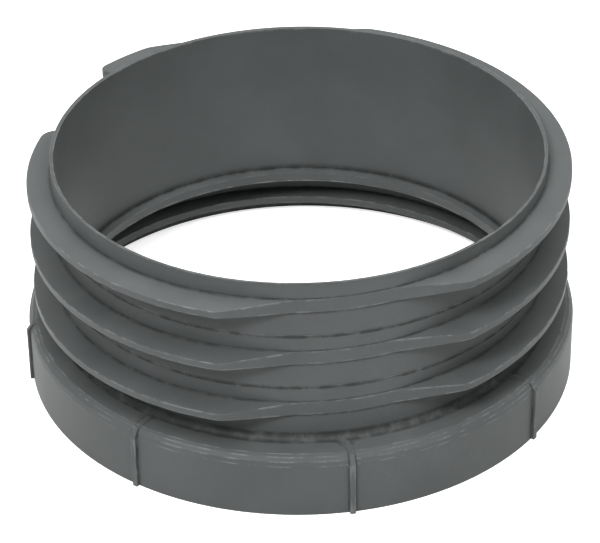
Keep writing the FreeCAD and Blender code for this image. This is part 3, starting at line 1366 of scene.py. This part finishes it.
@dataclass(frozen=True)
class MouldedPlastic:
    """Dark polypropylene as it leaves the mould, a little handled, with painted shade along each
    crease and a pale edge line that is part wear and part painted highlight.
    """

    name: str
    groups: dict[str, bpy.types.NodeTree]
    deep: Colour = (0.055, 0.059, 0.059)
    pale: Colour = (0.070, 0.075, 0.075)
    # Pale tint of the edges, part handling wear and part painted highlight.
    rub_and_highlight_tint: Colour = (0.17, 0.175, 0.175)
    scuffed: Colour = (0.13, 0.135, 0.135)
    dust: Colour = (0.17, 0.17, 0.163)
    # Near-black painted shade laid along each crease.
    crease_shade: Colour = (0.016, 0.017, 0.017)
    roughness: float = 0.50
    roughness_swing: float = 0.10
    specular: float = 0.14
    grain: float = 900.0
    grain_depth: float = 0.00014
    # Strength of the pale edge line, wear and painted highlight together.
    rub_and_highlight: float = 0.55
    scuffs: float = 0.45
    film: float = 0.07
    # Strength of the painted shade along each crease.
    crease_shade_strength: float = 0.75

    def build(self) -> bpy.types.Material:
        """Build the material.

        Returns:
            The material, with every pattern on the object's own coordinates.
        """
        material = bpy.data.materials.new(self.name)
        material.use_nodes = True
        material.node_tree.nodes.clear()
        graph = Graph(material.node_tree)
        place = graph.add("ShaderNodeTexCoord").outputs["Object"]
        upward = graph.add("ShaderNodeSeparateXYZ", {
            0: graph.add("ShaderNodeNewGeometry").outputs["True Normal"]}).outputs["Z"]
        gaps = {
            name: graph.add("ShaderNodeAttribute", attribute_name=name).outputs["Fac"]
            for name in ("edge_gap", "crease_gap")
        }

        def group(name: str, **feeds: object) -> bpy.types.NodeOutputs:
            """Place a shared group in this material."""
            node = graph.add("ShaderNodeGroup", node_tree=self.groups[name])
            for label, source in {"Position": place, **feeds}.items():
                graph.feed(node.inputs[label.replace("_", " ")], source)
            return node.outputs

        grain = group("moulded_grain", Grain=self.grain)
        # Pale edge line: handling wear with a painted highlight.
        rub_and_highlight = group("edge_rub_and_highlight", Gap=gaps["edge_gap"])["Mask"]
        scuff = group("handling_scuffs", Amount=self.scuffs)["Mask"]
        # Dust film on upward faces, and painted shade along each crease.
        dust = group("dust_and_crease_shade", Upward=upward, Crease_gap=gaps["crease_gap"])

        colour = graph.blend(grain["Tone"], (*self.deep, 1), (*self.pale, 1))
        # The crease mask blends towards near-black as painted shade; the edge mask blends towards
        # the pale tint as wear and painted highlight.
        for share, amount, tint in (
            (dust["Film"], self.film, self.dust), (dust["Crease"], self.crease_shade_strength, self.crease_shade),
            (scuff, 1.0, self.scuffed), (rub_and_highlight, self.rub_and_highlight, self.rub_and_highlight_tint),
        ):
            colour = graph.blend(graph.math("MULTIPLY", share, amount), colour, (*tint, 1))
        swing = graph.math("MULTIPLY", graph.math("SUBTRACT", grain["Tone"], 0.5),
                           self.roughness_swing)
        roughness = graph.math("ADD", swing, self.roughness)
        for share, amount in ((dust["Film"], 0.18), (scuff, 0.2), (rub_and_highlight, 0.12)):
            roughness = graph.math("ADD", roughness, graph.math("MULTIPLY", share, amount),
                                   clamp=True)
        height = graph.math("SUBTRACT", grain["Height"], graph.math("MULTIPLY", scuff, 0.5))
        bump = graph.add("ShaderNodeBump", {
            "Strength": 0.5, "Distance": self.grain_depth, "Height": height})
        shader = graph.add("ShaderNodeBsdfPrincipled", {
            "Base Color": colour, "Roughness": roughness, "Normal": bump.outputs[0],
            "Specular IOR Level": self.specular})
        graph.add("ShaderNodeOutputMaterial", {"Surface": shader.outputs[0]})
        return material


@dataclass(frozen=True)
class Viewpoint:
    """Where the camera stands."""

    target: tuple[float, float, float] = (0.0, 0.0, 0.1222)
    distance: float = 2.579
    azimuth: float = -99.6
    elevation: float = 32.99
    roll: float = -0.839
    lens: float = 164.9
    shift: Pair = (0.0, -0.0519)

    def direction(self, azimuth: float, elevation: float) -> Vector:
        """Give a direction from the target.

        Args:
            azimuth: Its angle in the floor from +X, in degrees.
            elevation: Its angle above the floor, in degrees.

        Returns:
            A vector of length 1.
        """
        level = math.cos(math.radians(elevation))
        return Vector((
            level * math.cos(math.radians(azimuth)), level * math.sin(math.radians(azimuth)),
            math.sin(math.radians(elevation)),
        ))

    def build(self) -> bpy.types.Object:
        """Set up the camera.

        Returns:
            The camera, which the scene then uses.
        """
        data = bpy.data.cameras.new("camera")
        data.lens = self.lens
        data.shift_x, data.shift_y = self.shift
        camera = bpy.data.objects.new("camera", data)
        bpy.context.scene.collection.objects.link(camera)
        back = self.direction(self.azimuth, self.elevation)
        camera.location = Vector(self.target) + back * self.distance
        camera.rotation_mode = "QUATERNION"
        camera.rotation_quaternion = (-back).to_track_quat("-Z", "Y") @ Quaternion(
            (0, 0, 1), math.radians(self.roll))
        bpy.context.scene.camera = camera
        return camera


@dataclass(frozen=True)
class SoftLamp:
    """One soft lamp of the studio."""

    name: str
    azimuth: float
    elevation: float
    distance: float
    size: float
    power: float


@dataclass(frozen=True)
class Studio:
    """The pale floor, the white surroundings and the lamps."""

    view: Viewpoint
    lamps: tuple[SoftLamp, ...] = (
        SoftLamp("key_lamp", -130.0, 47.0, 3.0, 0.6, 62.0),
        SoftLamp("side_lamp", -55.0, 50.0, 3.0, 1.4, 18.0),
        SoftLamp("top_lamp", -90.0, 89.0, 2.6, 5.0, 205.0),
    )
    ambient: float = 0.1
    floor_colour: Colour = (0.8, 0.8, 0.8)
    floor_lift: float = 0.62
    floor_size: float = 40.0
    floor_drop: float = 0.0002

    def build(self) -> None:
        """Set up the floor, the surroundings, the lamps and the colour handling."""
        self.build_floor()
        self.build_world()
        for lamp in self.lamps:
            self.build_lamp(lamp)
        bpy.context.scene.view_settings.view_transform = "Standard"

    @staticmethod
    def seen_directly(graph: Graph) -> bpy.types.NodeSocket:
        """Give 1 for what the camera, a reflection or glass shows, and 0 for plain light."""
        path = graph.add("ShaderNodeLightPath").outputs
        seen = graph.math("MAXIMUM", path["Is Camera Ray"], path["Is Glossy Ray"])
        return graph.math("MAXIMUM", seen, path["Is Transmission Ray"])

    def build_floor(self) -> None:
        """Lay the floor, which shows white with the ring's shadow on it."""
        half = self.floor_size / 2
        mesh = bpy.data.meshes.new("floor")
        mesh.from_pydata(
            [(x, y, -self.floor_drop) for x, y in
             ((-half, -half), (half, -half), (half, half), (-half, half))], [], [(0, 1, 2, 3)])
        floor = bpy.data.objects.new("floor", mesh)
        bpy.context.scene.collection.objects.link(floor)
        material = bpy.data.materials.new("pale_floor")
        material.use_nodes = True
        material.node_tree.nodes.clear()
        graph = Graph(material.node_tree)
        matt = graph.add("ShaderNodeBsdfDiffuse", {"Color": (*self.floor_colour, 1)})
        lift = graph.add("ShaderNodeEmission", {
            "Color": (1, 1, 1, 1),
            "Strength": graph.math("MULTIPLY", self.seen_directly(graph), self.floor_lift)})
        both = graph.add("ShaderNodeAddShader", {0: matt.outputs[0], 1: lift.outputs[0]})
        graph.add("ShaderNodeOutputMaterial", {"Surface": both.outputs[0]})
        mesh.materials.append(material)

    def build_world(self) -> None:
        """Surround the scene with white that lights it gently."""
        world = bpy.data.worlds.new("white_surroundings")
        world.use_nodes = True
        world.node_tree.nodes.clear()
        graph = Graph(world.node_tree)
        strength = graph.add("ShaderNodeMapRange", {
            0: self.seen_directly(graph), 1: 0.0, 2: 1.0, 3: self.ambient, 4: 1.0})
        light = graph.add("ShaderNodeBackground", {
            "Color": (1, 1, 1, 1), "Strength": strength.outputs[0]})
        graph.add("ShaderNodeOutputWorld", {"Surface": light.outputs[0]})
        bpy.context.scene.world = world

    def build_lamp(self, lamp: SoftLamp) -> None:
        """Hang one lamp so that it faces the ring.

        Args:
            lamp: The lamp's place, size and power.
        """
        data = bpy.data.lights.new(lamp.name, "AREA")
        data.size = lamp.size
        data.energy = lamp.power
        hung = bpy.data.objects.new(lamp.name, data)
        bpy.context.scene.collection.objects.link(hung)
        out = self.view.direction(lamp.azimuth, lamp.elevation)
        hung.location = Vector(self.view.target) + out * lamp.distance
        hung.rotation_mode = "QUATERNION"
        hung.rotation_quaternion = (-out).to_track_quat("-Z", "Y")


def main() -> None:
    """Build the camera, the ring, its plastic and the studio, and report each."""
    logging.basicConfig(level=logging.INFO, format="%(name)s: %(message)s")
    view = Viewpoint()
    view.build()
    log.info("camera: %.3f m from the ring's middle", view.distance)

    groups = {
        "moulded_grain": moulded_grain(), "edge_rub_and_highlight": edge_rub_and_highlight(),
        "handling_scuffs": handling_scuffs(), "dust_and_crease_shade": dust_and_crease_shade(),
    }
    outside = MouldedPlastic("plastic_outside", groups).build()
    inside = MouldedPlastic(
        "plastic_inside", groups, roughness=0.46, grain=1200.0, scuffs=0.3, film=0.06,
    ).build()
    log.info("plastic: %s and %s", outside.name, inside.name)

    piece = RiserRing().build(outside, inside)
    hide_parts(NODE)
    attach(piece, BODY)

    Studio(view).build()
    log.info("studio: floor, surroundings and lamps")


if __name__ == "__main__":
    main()
